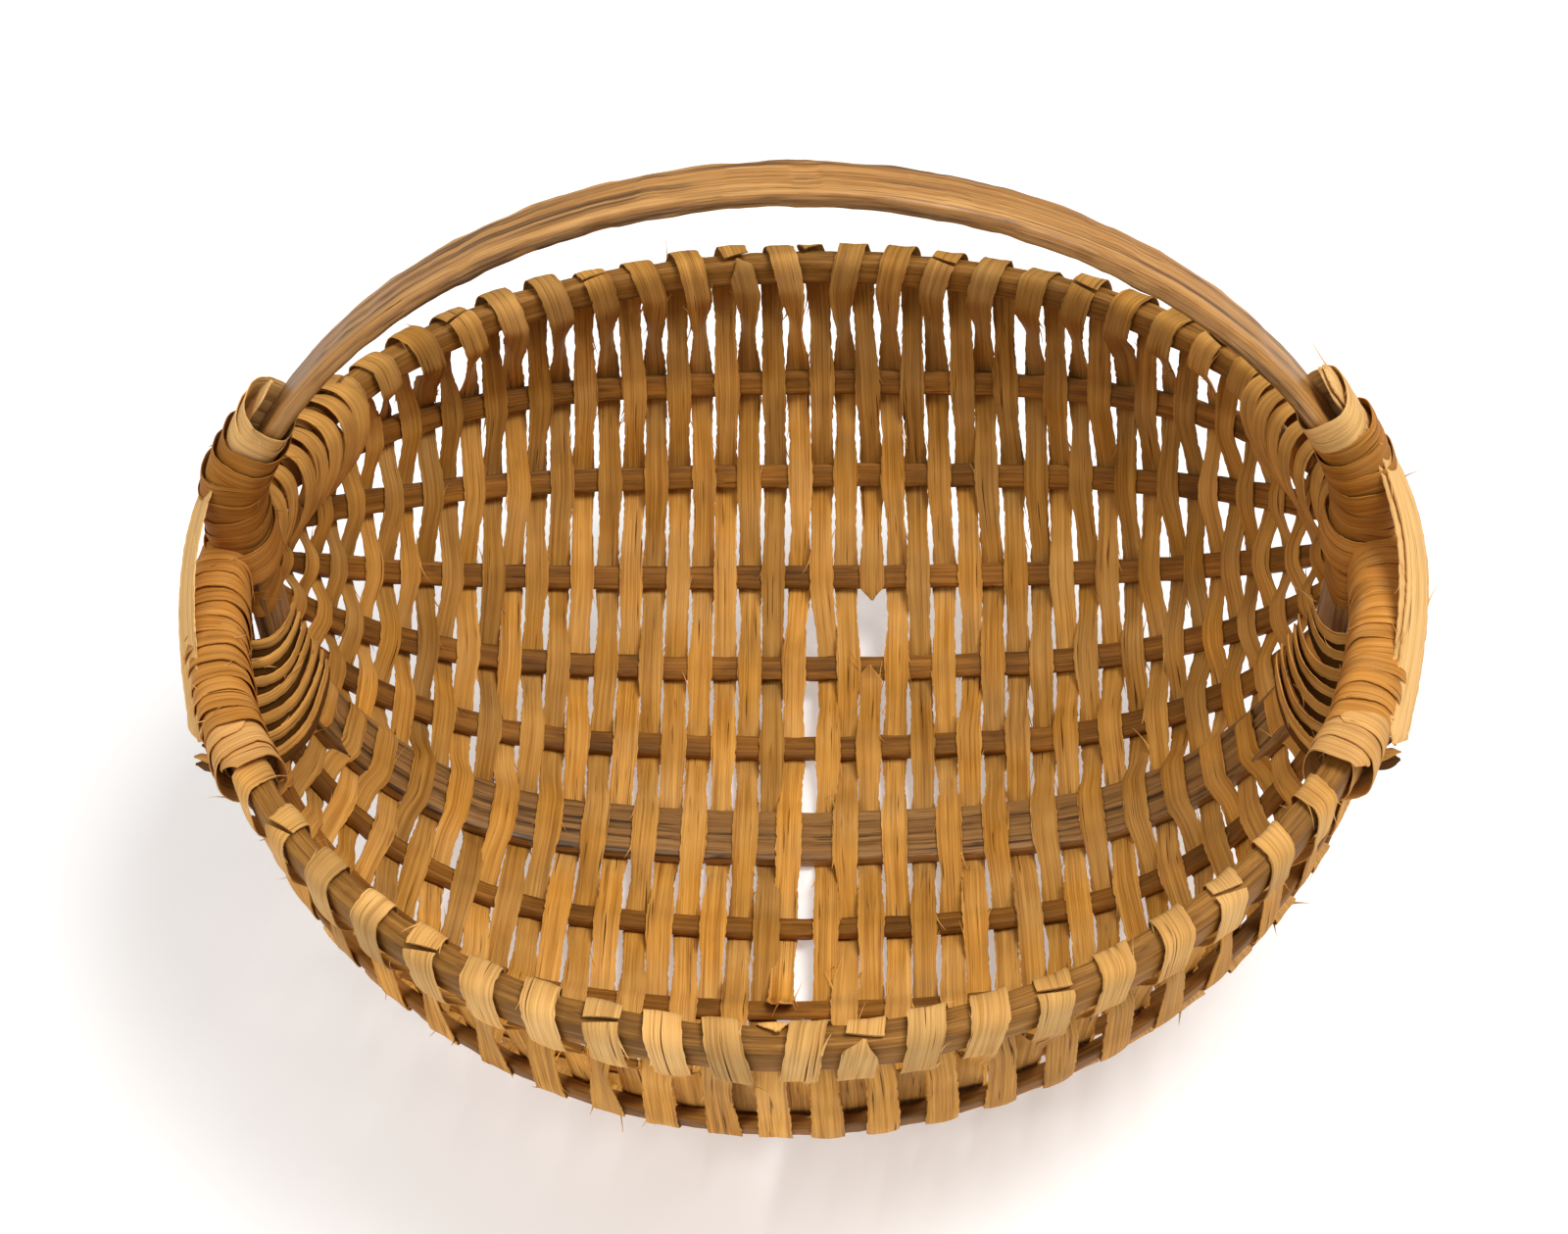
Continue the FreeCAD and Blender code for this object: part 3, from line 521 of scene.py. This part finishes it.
def controlsOfPass(side, number, jitter, rng):
    # stations of one pass from the top of the back rim to the top of the front rim: down one face of the rim,
    # over or under each rib in turn, up the same face of the front rim; half way to each neighbour it twists
    odd = number % 2 == 1
    inside = odd if side < 0 else not odd
    face = -1.0 if inside else 1.0
    halfThick = weave["thick"] / 2
    rows = []

    def add(arch, s, out, lower, key, wide, roll):
        p, travel, outward, down = archAt(arch, np.array([s]), side)
        rows.append((p[0] + outward[0] * out + down[0] * lower, travel[0], outward[0], key, wide, roll))

    def rimEnd(k, shift, slack):
        arch = arches[crossingOrder[k]]
        s0 = placeOfPasses(k, number) + jitter[k]
        s1 = placeOfPasses(k, number + shift)
        upSign = -1.0 if k == 0 else 1.0
        beside = basket["rimThick"] / 2 + weave["gap"] + halfThick + slack * 0.5
        top = basket["rimHigh"] / 2 + weave["gap"] + halfThick + slack
        steps = [(0.0, top, 0.0), (beside * 0.78, top * 0.93, 0.22), (beside + 0.0002, top * 0.45, 0.45),
                 (beside + 0.0004, -top * 0.9, 0.85)]
        for j, (out, high, share) in enumerate(steps):
            key = k + (0.45 - 0.1 * j) * (-1 if k == 0 else 1)
            add(arch, s1 + (s0 - s1) * share, face * out, upSign * high, key, 1.04, 0.0)

    slackBack, slackFront = rng.uniform(0.0006, 0.0030), rng.uniform(0.0004, 0.0018)
    rimEnd(0, -0.5 if inside else 0.5, slackBack)
    for k in range(1, 12):
        arch = arches[crossingOrder[k]]
        s = placeOfPasses(k, number) + jitter[k]
        inHere = inside if k % 2 == 0 else not inside
        sign = -1.0 if inHere else 1.0
        if k == 6:
            halfEdge, thick = basket["keelWide"] / 2, basket["hoopThick"]
        else:
            p = archAt(arch, np.array([s]), side)[0][0] - ear
            halfEdge, thick = float(ribWidthAt(np.hypot(p[1], p[2]))) / 2, basket["ribThick"]
        out = sign * (thick / 2 + weave["gap"] + halfThick)
        # the twisting stretch before this crossing
        before = arches[crossingOrder[k - 1]]
        pHere = archAt(arch, np.array([s]), side)[0][0]
        sBefore = placeOfPasses(k - 1, number) + jitter[k - 1]
        pBefore, _, oBefore, _ = archAt(before, np.array([sBefore]), side)
        middle = (pHere + pBefore[0]) / 2
        _, travel, outward, _ = archAt(arch, np.array([s]), side)
        twist = weave["shingle"] + rng.normal(0, 5)
        if k == 1:
            twist = rng.uniform(30, 62) * rng.choice([-1, 1]) if inside else rng.normal(8, 14)
        waist = weave["waist"] + rng.normal(0, 0.05)
        rows.append((middle, travel[0], outward[0], k - 0.5, waist, math.radians(twist)))
        add(arch, s, out, -(halfEdge * 0.8), k - 0.08, 1.0, math.radians(rng.normal(0, 2)))
        add(arch, s, out, halfEdge * 0.8, k + 0.08, 1.0, math.radians(rng.normal(0, 2)))
    # last stretch before the front rim
    rimPoint = archAt(arches["rimFront"], np.array([placeOfPasses(12, number)]), side)[0][0]
    pHere = (rows[-1][0] + rimPoint) / 2
    twist = rng.normal(0, 16) if inside else rng.normal(6, 20)
    rows.append((pHere, rows[-1][1], rows[-1][2], 11.5, 0.86, math.radians(twist)))
    ending = len(rows)
    rimEnd(12, 0.5 if inside else -0.5, slackFront)
    rows[ending:] = rows[ending:][::-1]
    # a pass that starts inside runs back to front, the next one comes front to back
    return rows if inside else rows[::-1]


def weavePath(side):
    rng = np.random.default_rng(100 if side < 0 else 200)
    rows, owner = [], []
    jitterAll = rng.normal(0, weave["jitter"], (weave["passes"] + 2, 13))
    jitterAll[:, 1:] = 0.6 * jitterAll[:, 1:] + 0.4 * jitterAll[:, :-1]
    # the passes next to the seam keep a little apart below the back wall
    apart = np.zeros(13)
    apart[4:11] = weave["seamGap"]
    jitterAll[weave["passes"]] -= apart
    toneAll = rng.normal(0, 1, weave["passes"] + 2)
    for number in range(1, weave["passes"] + 1):
        mine = controlsOfPass(side, number, jitterAll[number], rng)
        if rows:
            mine = mine[1:]
        rows += mine
        owner += [number] * len(mine)
    channels = {
        "point": np.array([r[0] for r in rows]), "across": np.array([r[1] for r in rows]),
        "outward": np.array([r[2] for r in rows]), "key": np.array([r[3] for r in rows]),
        "wide": np.array([r[4] for r in rows]), "roll": np.array([r[5] for r in rows]),
        "owner": np.array(owner, float), "tone": toneAll[np.array(owner)],
    }
    path = resample(channels, weave["step"])
    for key in ("point", "across", "outward", "wide", "roll", "tone"):
        softer = 2.0 if key in ("roll", "wide", "across") else 1.0
        path[key] = smoothAlong(path[key], weave["soft"] * softer)
    travel = unit(np.gradient(path["point"], axis=0))
    across = unit(path["across"] - travel * (path["across"] * travel).sum(1, keepdims=True))
    third = np.cross(travel, across)
    path["across"] = across * np.cos(path["roll"])[:, None] + third * np.sin(path["roll"])[:, None]
    return path


def colourOfWeave(path, rng):
    # tone by pass and place; pale on the wraps, outer faces and front; painted shade darkens the back half,
    # least towards the bottom
    point = path["point"]
    run = np.arange(len(point)) * weave["step"]
    tone = 0.5 + 0.16 * path["tone"] + 0.10 * wander(run, rng, 0.05)
    height = (point[:, 2] - basket["earHeight"]) / 0.16
    backness = np.clip((point[:, 1] - basket["planeShift"]) / 0.17, -1, 1)
    # painted shade: the back half of the weave is made darker
    tone -= 0.42 * np.clip(backness, 0, 1) * np.clip(1.3 + height, 0, 1)
    atRim = np.clip(1 - np.abs(height) / 0.09, 0, 1)
    pale = 0.15 + 0.55 * np.clip(-backness, 0, 1) * atRim + 0.25 * atRim
    pale = pale + 0.18 * wander(run, rng, 0.11)
    dirtAndShade = 0.10 * np.clip(wander(run, rng, 0.07), 0, 1)
    return np.stack([np.clip(tone, 0, 1), np.clip(pale, 0, 1), np.clip(dirtAndShade, 0, 1), np.ones(len(point))], 1)


def takePart(path, index):
    return {key: value[index] for key, value in path.items()}


def curlEnd(path, atStart, outward, reach, lift):
    # the last stretch lifts off and rolls over: offset = lift t^2 along the inward normal
    count = min(int(reach / weave["step"]), len(path["point"]) - 2)
    t = np.zeros(len(path["point"]))
    ramp = np.linspace(0, 1, count)
    if atStart:
        t[:count] = ramp[::-1]
    else:
        t[-count:] = ramp
    path["point"] = path["point"] - outward * (lift * t ** 2)[:, None]
    return path


def makeWeave(side, word):
    path = weavePath(side)
    rng = np.random.default_rng(300 if side < 0 else 400)
    path["look"] = colourOfWeave(path, rng)
    total = weave["passes"] // weave["perSplint"]
    keep = np.ones(len(path["point"]), bool)
    for tornSide, number, low, high in tornPlaces:
        if tornSide == side:
            keep &= ~((np.round(path["owner"]) == number) & (path["key"] > low) & (path["key"] < high))
    for j in range(total):
        low, high = j * weave["perSplint"] + 0.5, (j + 1) * weave["perSplint"] + 0.5
        mine = (path["owner"] > low) & (path["owner"] <= high)
        use = np.flatnonzero(mine & keep)
        runs = np.split(use, np.flatnonzero(np.diff(use) > 1) + 1)
        tubes = []
        for part in runs:
            if len(part) < 6:
                continue
            piece = takePart(path, part)
            torn = len(runs) > 1
            if torn and part is not runs[-1]:
                piece = curlEnd(piece, False, piece["outward"], 0.022, 0.009)
            if torn and part is not runs[0]:
                piece = curlEnd(piece, True, piece["outward"], 0.012, -0.003)
            grid = band(piece, piece["wide"] * weave["width"], weave["thick"], rng, weave["cup"],
                        endRag=0.006 if torn else 0.0)
            tubes.append(grid)
            length = len(part) * weave["step"]
            tubes += frays(grid, rng, int(length / 0.035))
            if torn and part is not runs[-1]:
                tubes += frays(grid, rng, 7, 0.012, (len(part) - 12, len(part) - 1))
        obj = meshFromTubes("splint.%s.%d" % (word, j + 1), tubes, splintWood)
        placePiece(obj, "splint_wood", "splint_%s_%d" % (word, j + 1))


makeWeave(-1, "left")
makeWeave(1, "right")
print("weave ready")

lashing = {
    "postFrom": 0.003, "postTo": 0.052, "postTurns": 6.4, "postOut": 0.0106, "postWide": 0.0126,
    "postShift": 0.0036, "jointOut": 0.0128, "jointWide": 0.0155,
    "rimFrom": 0.004, "rimFrontTo": 0.100, "rimBackTo": 0.032, "rimOut": 0.0098, "rimUp": 0.0108,
    "rimFrontTurns": 12.5, "rimBackTurns": 4.2, "wrapFrom": 0.099, "wrapTo": 0.117, "wrapTurns": 2.3,
    "keelFrom": 0.008, "keelTo": 0.018, "keelTurns": 1.6, "keelOut": 0.0045, "keelAcross": 0.0138,
    "crossTilts": (52, -50, 40, -60), "crossX": 0.2040, "crossWide": 0.0115,
    "bandWide": 0.0118, "thick": 0.0007, "step": 0.0014, "roundness": 2.6,
}


def windRound(arch, side, sFrom, sTo, turns, halfOut, halfAcross, rng, width, start, look, swell=0.0,
              lean=0.0, shiftOut=0.0):
    # helix round the arch: outward = a |cos|^(2/p), across = b |sin|^(2/p), and length grows with the angle
    power = lashing["roundness"]
    count = int(turns * 2 * (halfOut + halfAcross) * 1.7 / lashing["step"])
    angle = np.linspace(0, 2 * math.pi * turns, count) + start
    s = np.linspace(sFrom, sTo, count) + 0.0009 * wander(angle, rng, 5.0)
    point, travel, outward, down = archAt(arch, np.clip(s, 0.0005, None), side)
    share = (s - sFrom) / (sTo - sFrom)
    bulge = 1 + swell * np.sin(math.pi * np.clip(share, 0, 1)) + 0.05 * wander(angle, rng, 7.0)
    c, n = np.cos(angle), np.sin(angle)
    a = halfOut * bulge * np.sign(c) * np.abs(c) ** (2 / power) + shiftOut
    b = halfAcross * bulge * np.sign(n) * np.abs(n) ** (2 / power)
    # one side of each turn rides on the turn before
    path = {"point": point + outward * a[:, None] + down * b[:, None],
            "across": unit(travel + outward * (c * lean)[:, None] + down * (n * lean)[:, None])}
    path["point"] = smoothAlong(path["point"], 1.2)
    run = np.arange(count) * lashing["step"]
    tone = look[0] + 0.12 * wander(run, rng, 0.05)
    pale = look[1] + 0.08 * wander(run, rng, 0.03)
    dirtAndShade = look[2] + 0.10 * wander(run, rng, 0.04)
    path["look"] = np.clip(np.stack([tone, pale, dirtAndShade, np.ones(count)], 1), 0, 1)
    wide = width * (1 + 0.08 * wander(run, rng, 0.06))
    grid = band(path, wide, lashing["thick"], rng, 0.0003, ragged=0.00035, endRag=0.004)
    return [grid] + frays(grid, rng, int(turns * 2), 0.009)


def loopBand(points, across, rng, width, look):
    # smooth band through the given points
    channels = {"point": np.array(points, float), "across": np.broadcast_to(across, (len(points), 3)).copy()}
    path = resample(channels, lashing["step"])
    path["point"] = smoothAlong(path["point"], 3.0)
    path["look"] = np.broadcast_to(np.array(look + (1.0,)), (len(path["point"]), 4)).copy()
    run = np.arange(len(path["point"])) * lashing["step"]
    path["look"][:, 0] = np.clip(look[0] + 0.15 * wander(run, rng, 0.03), 0, 1)
    if np.ndim(width):
        width = np.interp(np.linspace(0, 1, len(run)), np.linspace(0, 1, len(width)), width)
    grid = band(path, width, lashing["thick"], rng, 0.0003, ragged=0.0003, endRag=0.004)
    return [grid] + frays(grid, rng, 2, 0.008)


def makeEarLashing(side, word):
    rng = np.random.default_rng(500 if side < 0 else 600)
    handle, keel = arches["handle"], arches["keel"]
    back, front = arches["rimBack"], arches["rimFront"]
    wide = lashing["bandWide"]
    brown, tan, pale = (0.34, 0.05, 0.22), (0.52, 0.15, 0.04), (0.6, 0.6, 0.0)
    # turns round the foot of the bow, each lapping the one below
    tubes = windRound(handle, side, lashing["postTo"], lashing["postFrom"], lashing["postTurns"],
                      lashing["postOut"], lashing["postWide"], rng, wide, 2.0, swell=0.10, lean=0.10,
                      look=brown, shiftOut=lashing["postShift"])
    # a broad turn where the bow meets the rim
    tubes += windRound(handle, side, 0.0045, 0.0010, 1.3, lashing["jointOut"], lashing["jointWide"], rng,
                       0.015, 1.2, look=tan, shiftOut=lashing["postShift"])
    # turns round the rim on both sides of the ear, then broad pale ones
    tubes += windRound(front, side, lashing["rimFrom"], lashing["rimFrontTo"], lashing["rimFrontTurns"],
                       lashing["rimOut"], lashing["rimUp"], rng, wide, 1.0, swell=0.06, lean=0.10, look=tan)
    tubes += windRound(back, side, lashing["rimFrom"], lashing["rimBackTo"], lashing["rimBackTurns"],
                       lashing["rimOut"] * 0.9, lashing["rimUp"] * 0.9, rng, wide, 1.0, lean=0.12, look=brown)
    tubes += windRound(front, side, lashing["wrapTo"], lashing["wrapFrom"], lashing["wrapTurns"],
                       lashing["rimOut"], lashing["rimUp"] * 0.96, rng, wide * 1.25, 0.4, swell=0.04,
                       lean=0.12, look=pale)
    # turns round the top of the keel
    tubes += windRound(keel, side, lashing["keelFrom"], lashing["keelTo"], lashing["keelTurns"],
                       lashing["keelOut"], lashing["keelAcross"], rng, wide, 0.5, look=brown)
    # bands that cross over the ear on its outer side
    middle = ear + np.array([side * lashing["crossX"], 0, -0.004])
    for j, tilt in enumerate(np.radians(lashing["crossTilts"])):
        along = np.array([0, math.cos(tilt), math.sin(tilt)])
        cross = np.array([0, -math.sin(tilt), math.cos(tilt)])
        angle = np.linspace(-1.9, 1.9, 60)
        reach = 0.0165 + 0.0007 * j
        points = (middle + np.cos(angle)[:, None] * np.array([side * (0.0105 + 0.0006 * j), 0, 0])
                  + np.sin(angle)[:, None] * along * reach + cross * 0.003 * (j - 1.5))
        tubes += loopBand(points, cross, rng, lashing["crossWide"], (0.42 + 0.04 * j, 0.15, 0.12))
    obj = meshFromTubes("earLashing." + word, tubes, lashingWood)
    placePiece(obj, "lashing_wood", "ear_lashing_" + word)


curls = {
    "cups": 7, "cupStart": 0.038, "cupPitch": 0.0094, "cupReach": 0.0100, "cupGrow": 0.0026,
    "cupRound": 2.4, "cupTop": 0.158, "cupDrop": 0.0110, "cupDropGrow": 0.0016, "cupBack": 30.0,
    "cupWidth": 0.0085, "cupMiddle": 0.008, "cupMiddleStep": 0.0056, "cupWallX": 0.1965,
    "loops": 7, "loopStart": 0.022, "loopPitch": 0.0106, "width": 0.0098,
}


def makeCurls(side, word):
    rng = np.random.default_rng(700 if side < 0 else 800)
    tubes = []
    # slack turns stand up inside the front of the ear like nested cups: each is a superellipse in plan,
    # |x/a|^p + |y/b|^p = 1, from under the rim round to the wall below the bow, falling as it goes
    for j in range(curls["cups"]):
        s = curls["cupStart"] + curls["cupPitch"] * j
        reach = curls["cupReach"] + curls["cupGrow"] * j + rng.normal(0, 0.0005)
        middleY = curls["cupMiddle"] - curls["cupMiddleStep"] * j
        deep = s - basket["planeShift"] + middleY
        angle = np.radians(np.linspace(-90, curls["cupBack"], 46))
        c, n = np.cos(angle), np.sin(angle)
        x = reach * np.abs(c) ** (2 / curls["cupRound"])
        y = middleY + deep * np.sign(n) * np.abs(n) ** (2 / curls["cupRound"])
        share = np.linspace(0, 1, len(angle))
        z = curls["cupTop"] - (curls["cupDrop"] + curls["cupDropGrow"] * j) * share - curls["cupWidth"] / 2
        z = z + 0.0006 * wander(share, rng, 0.8)
        points = np.stack([side * (curls["cupWallX"] - x), y, z], 1)
        tuck = points[0] + np.array([[side * 0.008, 0.001, 0.001], [side * 0.004, 0.0003, 0.0005]])
        points = np.concatenate([tuck, points])
        flare = rng.uniform(-0.10, 0.30)
        across = np.array([0, flare, 1.0])
        tubes += loopBand(points, across, rng, curls["cupWidth"] * 0.52 * rng.uniform(0.9, 1.1),
                          (0.62 + rng.normal(0, 0.07), 0.25, 0.05))
        # a dark band below each turn stands for the deep shade between the turns
        lower = points + np.array([side * 0.0005, 0.0006, -curls["cupWidth"] * 0.50])
        tubes += loopBand(lower, across, rng, curls["cupWidth"] * 0.70, (0.02, 0.0, 1.0))
    # slack turns over the back rim: out at the back, over the top, bulging in and drawn down to a point
    outline = np.array([
        (0.0085, -0.0070, -0.0020), (0.0092, 0.0020, -0.0005), (0.0050, 0.0100, 0.0005),
        (-0.0020, 0.0122, 0.0020), (-0.0090, 0.0100, 0.0036), (-0.0136, 0.0040, 0.0042),
        (-0.0150, -0.0050, 0.0030), (-0.0140, -0.0140, 0.0), (-0.0110, -0.0220, -0.0040),
        (-0.0065, -0.0285, -0.0085)])
    for j in range(curls["loops"]):
        s = curls["loopStart"] + curls["loopPitch"] * j + rng.normal(0, 0.0006)
        point, travel, outward, _ = [v[0] for v in archAt(arches["rimBack"], np.array([s]), side)]
        grow = (0.80 + 0.06 * min(j, 4)) * rng.uniform(0.92, 1.10) - 0.06 * max(j - 4, 0)
        shape = outline * np.array([grow, grow ** 0.5, 1.3])
        upward = np.array([0, 0, 1.0])
        points = point + outward * shape[:, :1] + upward * shape[:, 1:2] + travel * shape[:, 2:]
        taper = np.interp(np.linspace(0, 1, 200), [0, 0.55, 1.0], [1.0, 1.0, 0.5])
        tubes += loopBand(points, travel - np.array([0, 0, 0.42]), rng, curls["width"] * taper,
                          (0.50 + rng.normal(0, 0.07), 0.25, 0.08))
    obj = meshFromTubes("earCurls." + word, tubes, splintWood)
    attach(obj, "root")


binding = {
    "from": 0.051, "to": 0.066, "turns": 2.4, "out": 0.0096, "across": 0.0124, "shift": 0.0034,
    "width": 0.0105,
}


def makeBinding(side, word):
    rng = np.random.default_rng(900 if side < 0 else 1000)
    tubes = windRound(arches["handle"], side, binding["from"], binding["to"], binding["turns"],
                      binding["out"], binding["across"], rng, binding["width"], 0.6, lean=0.08,
                      look=(0.6, 0.8, 0.0), shiftOut=binding["shift"])
    obj = meshFromTubes("handleBinding." + word, tubes, paleSplintWood)
    placePiece(obj, "strap_wood", "handle_binding_" + word)


strap = {"bow": 0.0078, "end": 0.097, "tilt": {"left": 0.72, "right": 0.75},
         "width": {"left": 0.0125, "right": 0.0165}, "layers": {"left": 1, "right": 2},
         "thick": 0.0011, "cornerX": 0.2115}


def makeStrap(side, word):
    # from behind the bow through the binding, bowed out past the ear, down to the front rim
    rng = np.random.default_rng(1100 if side < 0 else 1200)
    handle, rim = arches["handle"], arches["rimFront"]
    tubes = []
    for layer in range(strap["layers"][word]):
        s = np.array([0.080, 0.072, 0.064, 0.056, 0.048])
        point, _, outward, _ = archAt(handle, s, side)
        gap = np.array([[0.0065], [0.0060], [0.0060], [0.0065], [0.0080]])
        lead = point + outward * (basket["hoopThick"] / 2 + gap)
        lead = lead + outward * 0.0016 * layer
        end, _, endOut, _ = archAt(rim, np.array([strap["end"] + 0.004 * layer]), side)
        end = end[0] + endOut[0] * (0.0118 + 0.0010 * layer) - np.array([0, 0, 0.001])
        u = np.linspace(0, 1, 16)[1:, None]
        bow = np.sin(math.pi * u ** 1.15) * (strap["bow"] + 0.0018 * layer)
        # first straight down beside the bow's foot, then forward along the rim
        corner = ear + np.array([side * strap["cornerX"], -0.006, 0.016])
        free = lead[-1] * (1 - u) ** 2 + corner * 2 * u * (1 - u) + end * u ** 2
        free = free + bow * np.array([side, 0, 0])
        points = np.concatenate([lead, free])
        acrossLead = np.broadcast_to([0.0, 1.0, 0.0], lead.shape)
        lean = np.array([side * strap["tilt"][word], 0.65, -0.65])
        share = np.clip(u * 3, 0, 1)
        channels = {"point": points,
                    "across": np.concatenate([acrossLead, acrossLead[-1] * (1 - share) + lean * share])}
        path = resample(channels, lashing["step"])
        for key in ("point", "across"):
            path[key] = smoothAlong(path[key], 4.0)
        count = len(path["point"])
        path["look"] = np.broadcast_to(np.array([0.62, 0.95, 0.0, 1.0]), (count, 4)).copy()
        wide = strap["width"][word] * (1 - 0.12 * layer)
        grid = band(path, wide, strap["thick"], rng, 0.0005, ragged=0.0005, endRag=0.006)
        tubes += [grid] + frays(grid, rng, 9, 0.012)
    obj = meshFromTubes("sideStrap." + word, tubes, paleSplintWood)
    placePiece(obj, "strap_wood", "side_strap_" + word)


for side, word in ((-1, "left"), (1, "right")):
    makeEarLashing(side, word)
    makeCurls(side, word)
    makeBinding(side, word)
    makeStrap(side, word)
print("ears ready")

studio = {"floorSize": 8.0, "floorGlow": 0.34, "floorTone": 0.80, "world": 0.36, "key": 32.0, "fill": 12.0}


def makeFloor():
    mesh = bpy.data.meshes.new("floor")
    h = studio["floorSize"] / 2
    mesh.from_pydata([(-h, -h, 0), (h, -h, 0), (h, h, 0), (-h, h, 0)], [], [(0, 1, 2, 3)])
    floor = bpy.data.objects.new("floor", mesh)
    bpy.context.scene.collection.objects.link(floor)
    material = bpy.data.materials.new("paleFloor")
    material.use_nodes = True
    shader = material.node_tree.nodes["Principled BSDF"]
    t = studio["floorTone"]
    shader.inputs["Base Color"].default_value = (t, t, t, 1)
    shader.inputs["Roughness"].default_value = 0.9
    shader.inputs["Emission Color"].default_value = (1, 0.985, 0.975, 1)
    shader.inputs["Emission Strength"].default_value = studio["floorGlow"]
    mesh.materials.append(material)


def addLight(name, place, target, size, watts, tint=(1, 1, 1)):
    lamp = bpy.data.lights.new(name, "AREA")
    lamp.energy = watts
    lamp.size = size
    lamp.color = tint
    obj = bpy.data.objects.new(name, lamp)
    obj.location = place
    obj.rotation_euler = (Vector(target) - Vector(place)).to_track_quat("-Z", "Y").to_euler()
    bpy.context.scene.collection.objects.link(obj)


view = {"place": (0.0295, -0.5921, 0.7078), "turn": -3.27, "tip": 43.14, "roll": -2.64, "lens": 51.9}


def makeCamera():
    data = bpy.data.cameras.new("camera")
    data.lens = view["lens"]
    data.sensor_width = 36.0
    camera = bpy.data.objects.new("camera", data)
    camera.location = view["place"]
    # tip down from level, turn left or right, then roll about the view
    tip = Euler((math.radians(90 - view["tip"]), 0, 0)).to_matrix()
    turn = Euler((0, 0, -math.radians(view["turn"]))).to_matrix()
    roll = Euler((0, 0, math.radians(view["roll"]))).to_matrix()
    camera.rotation_euler = (turn @ tip @ roll).to_euler()
    bpy.context.scene.collection.objects.link(camera)
    bpy.context.scene.camera = camera


makeFloor()
addLight("keyLight", (0.75, -0.15, 1.8), (0, 0, 0.1), 0.9, studio["key"], (1, 0.985, 0.96))
addLight("fillLight", (-1.0, -0.9, 1.4), (0, 0, 0.1), 1.3, studio["fill"])
makeCamera()
world = bpy.data.worlds.new("studioWorld")
bpy.context.scene.world = world
world.use_nodes = True
world.node_tree.nodes["Background"].inputs[0].default_value = (1, 1, 1, 1)
world.node_tree.nodes["Background"].inputs[1].default_value = studio["world"]
bpy.context.scene.view_settings.view_transform = "Standard"
print("studio ready")
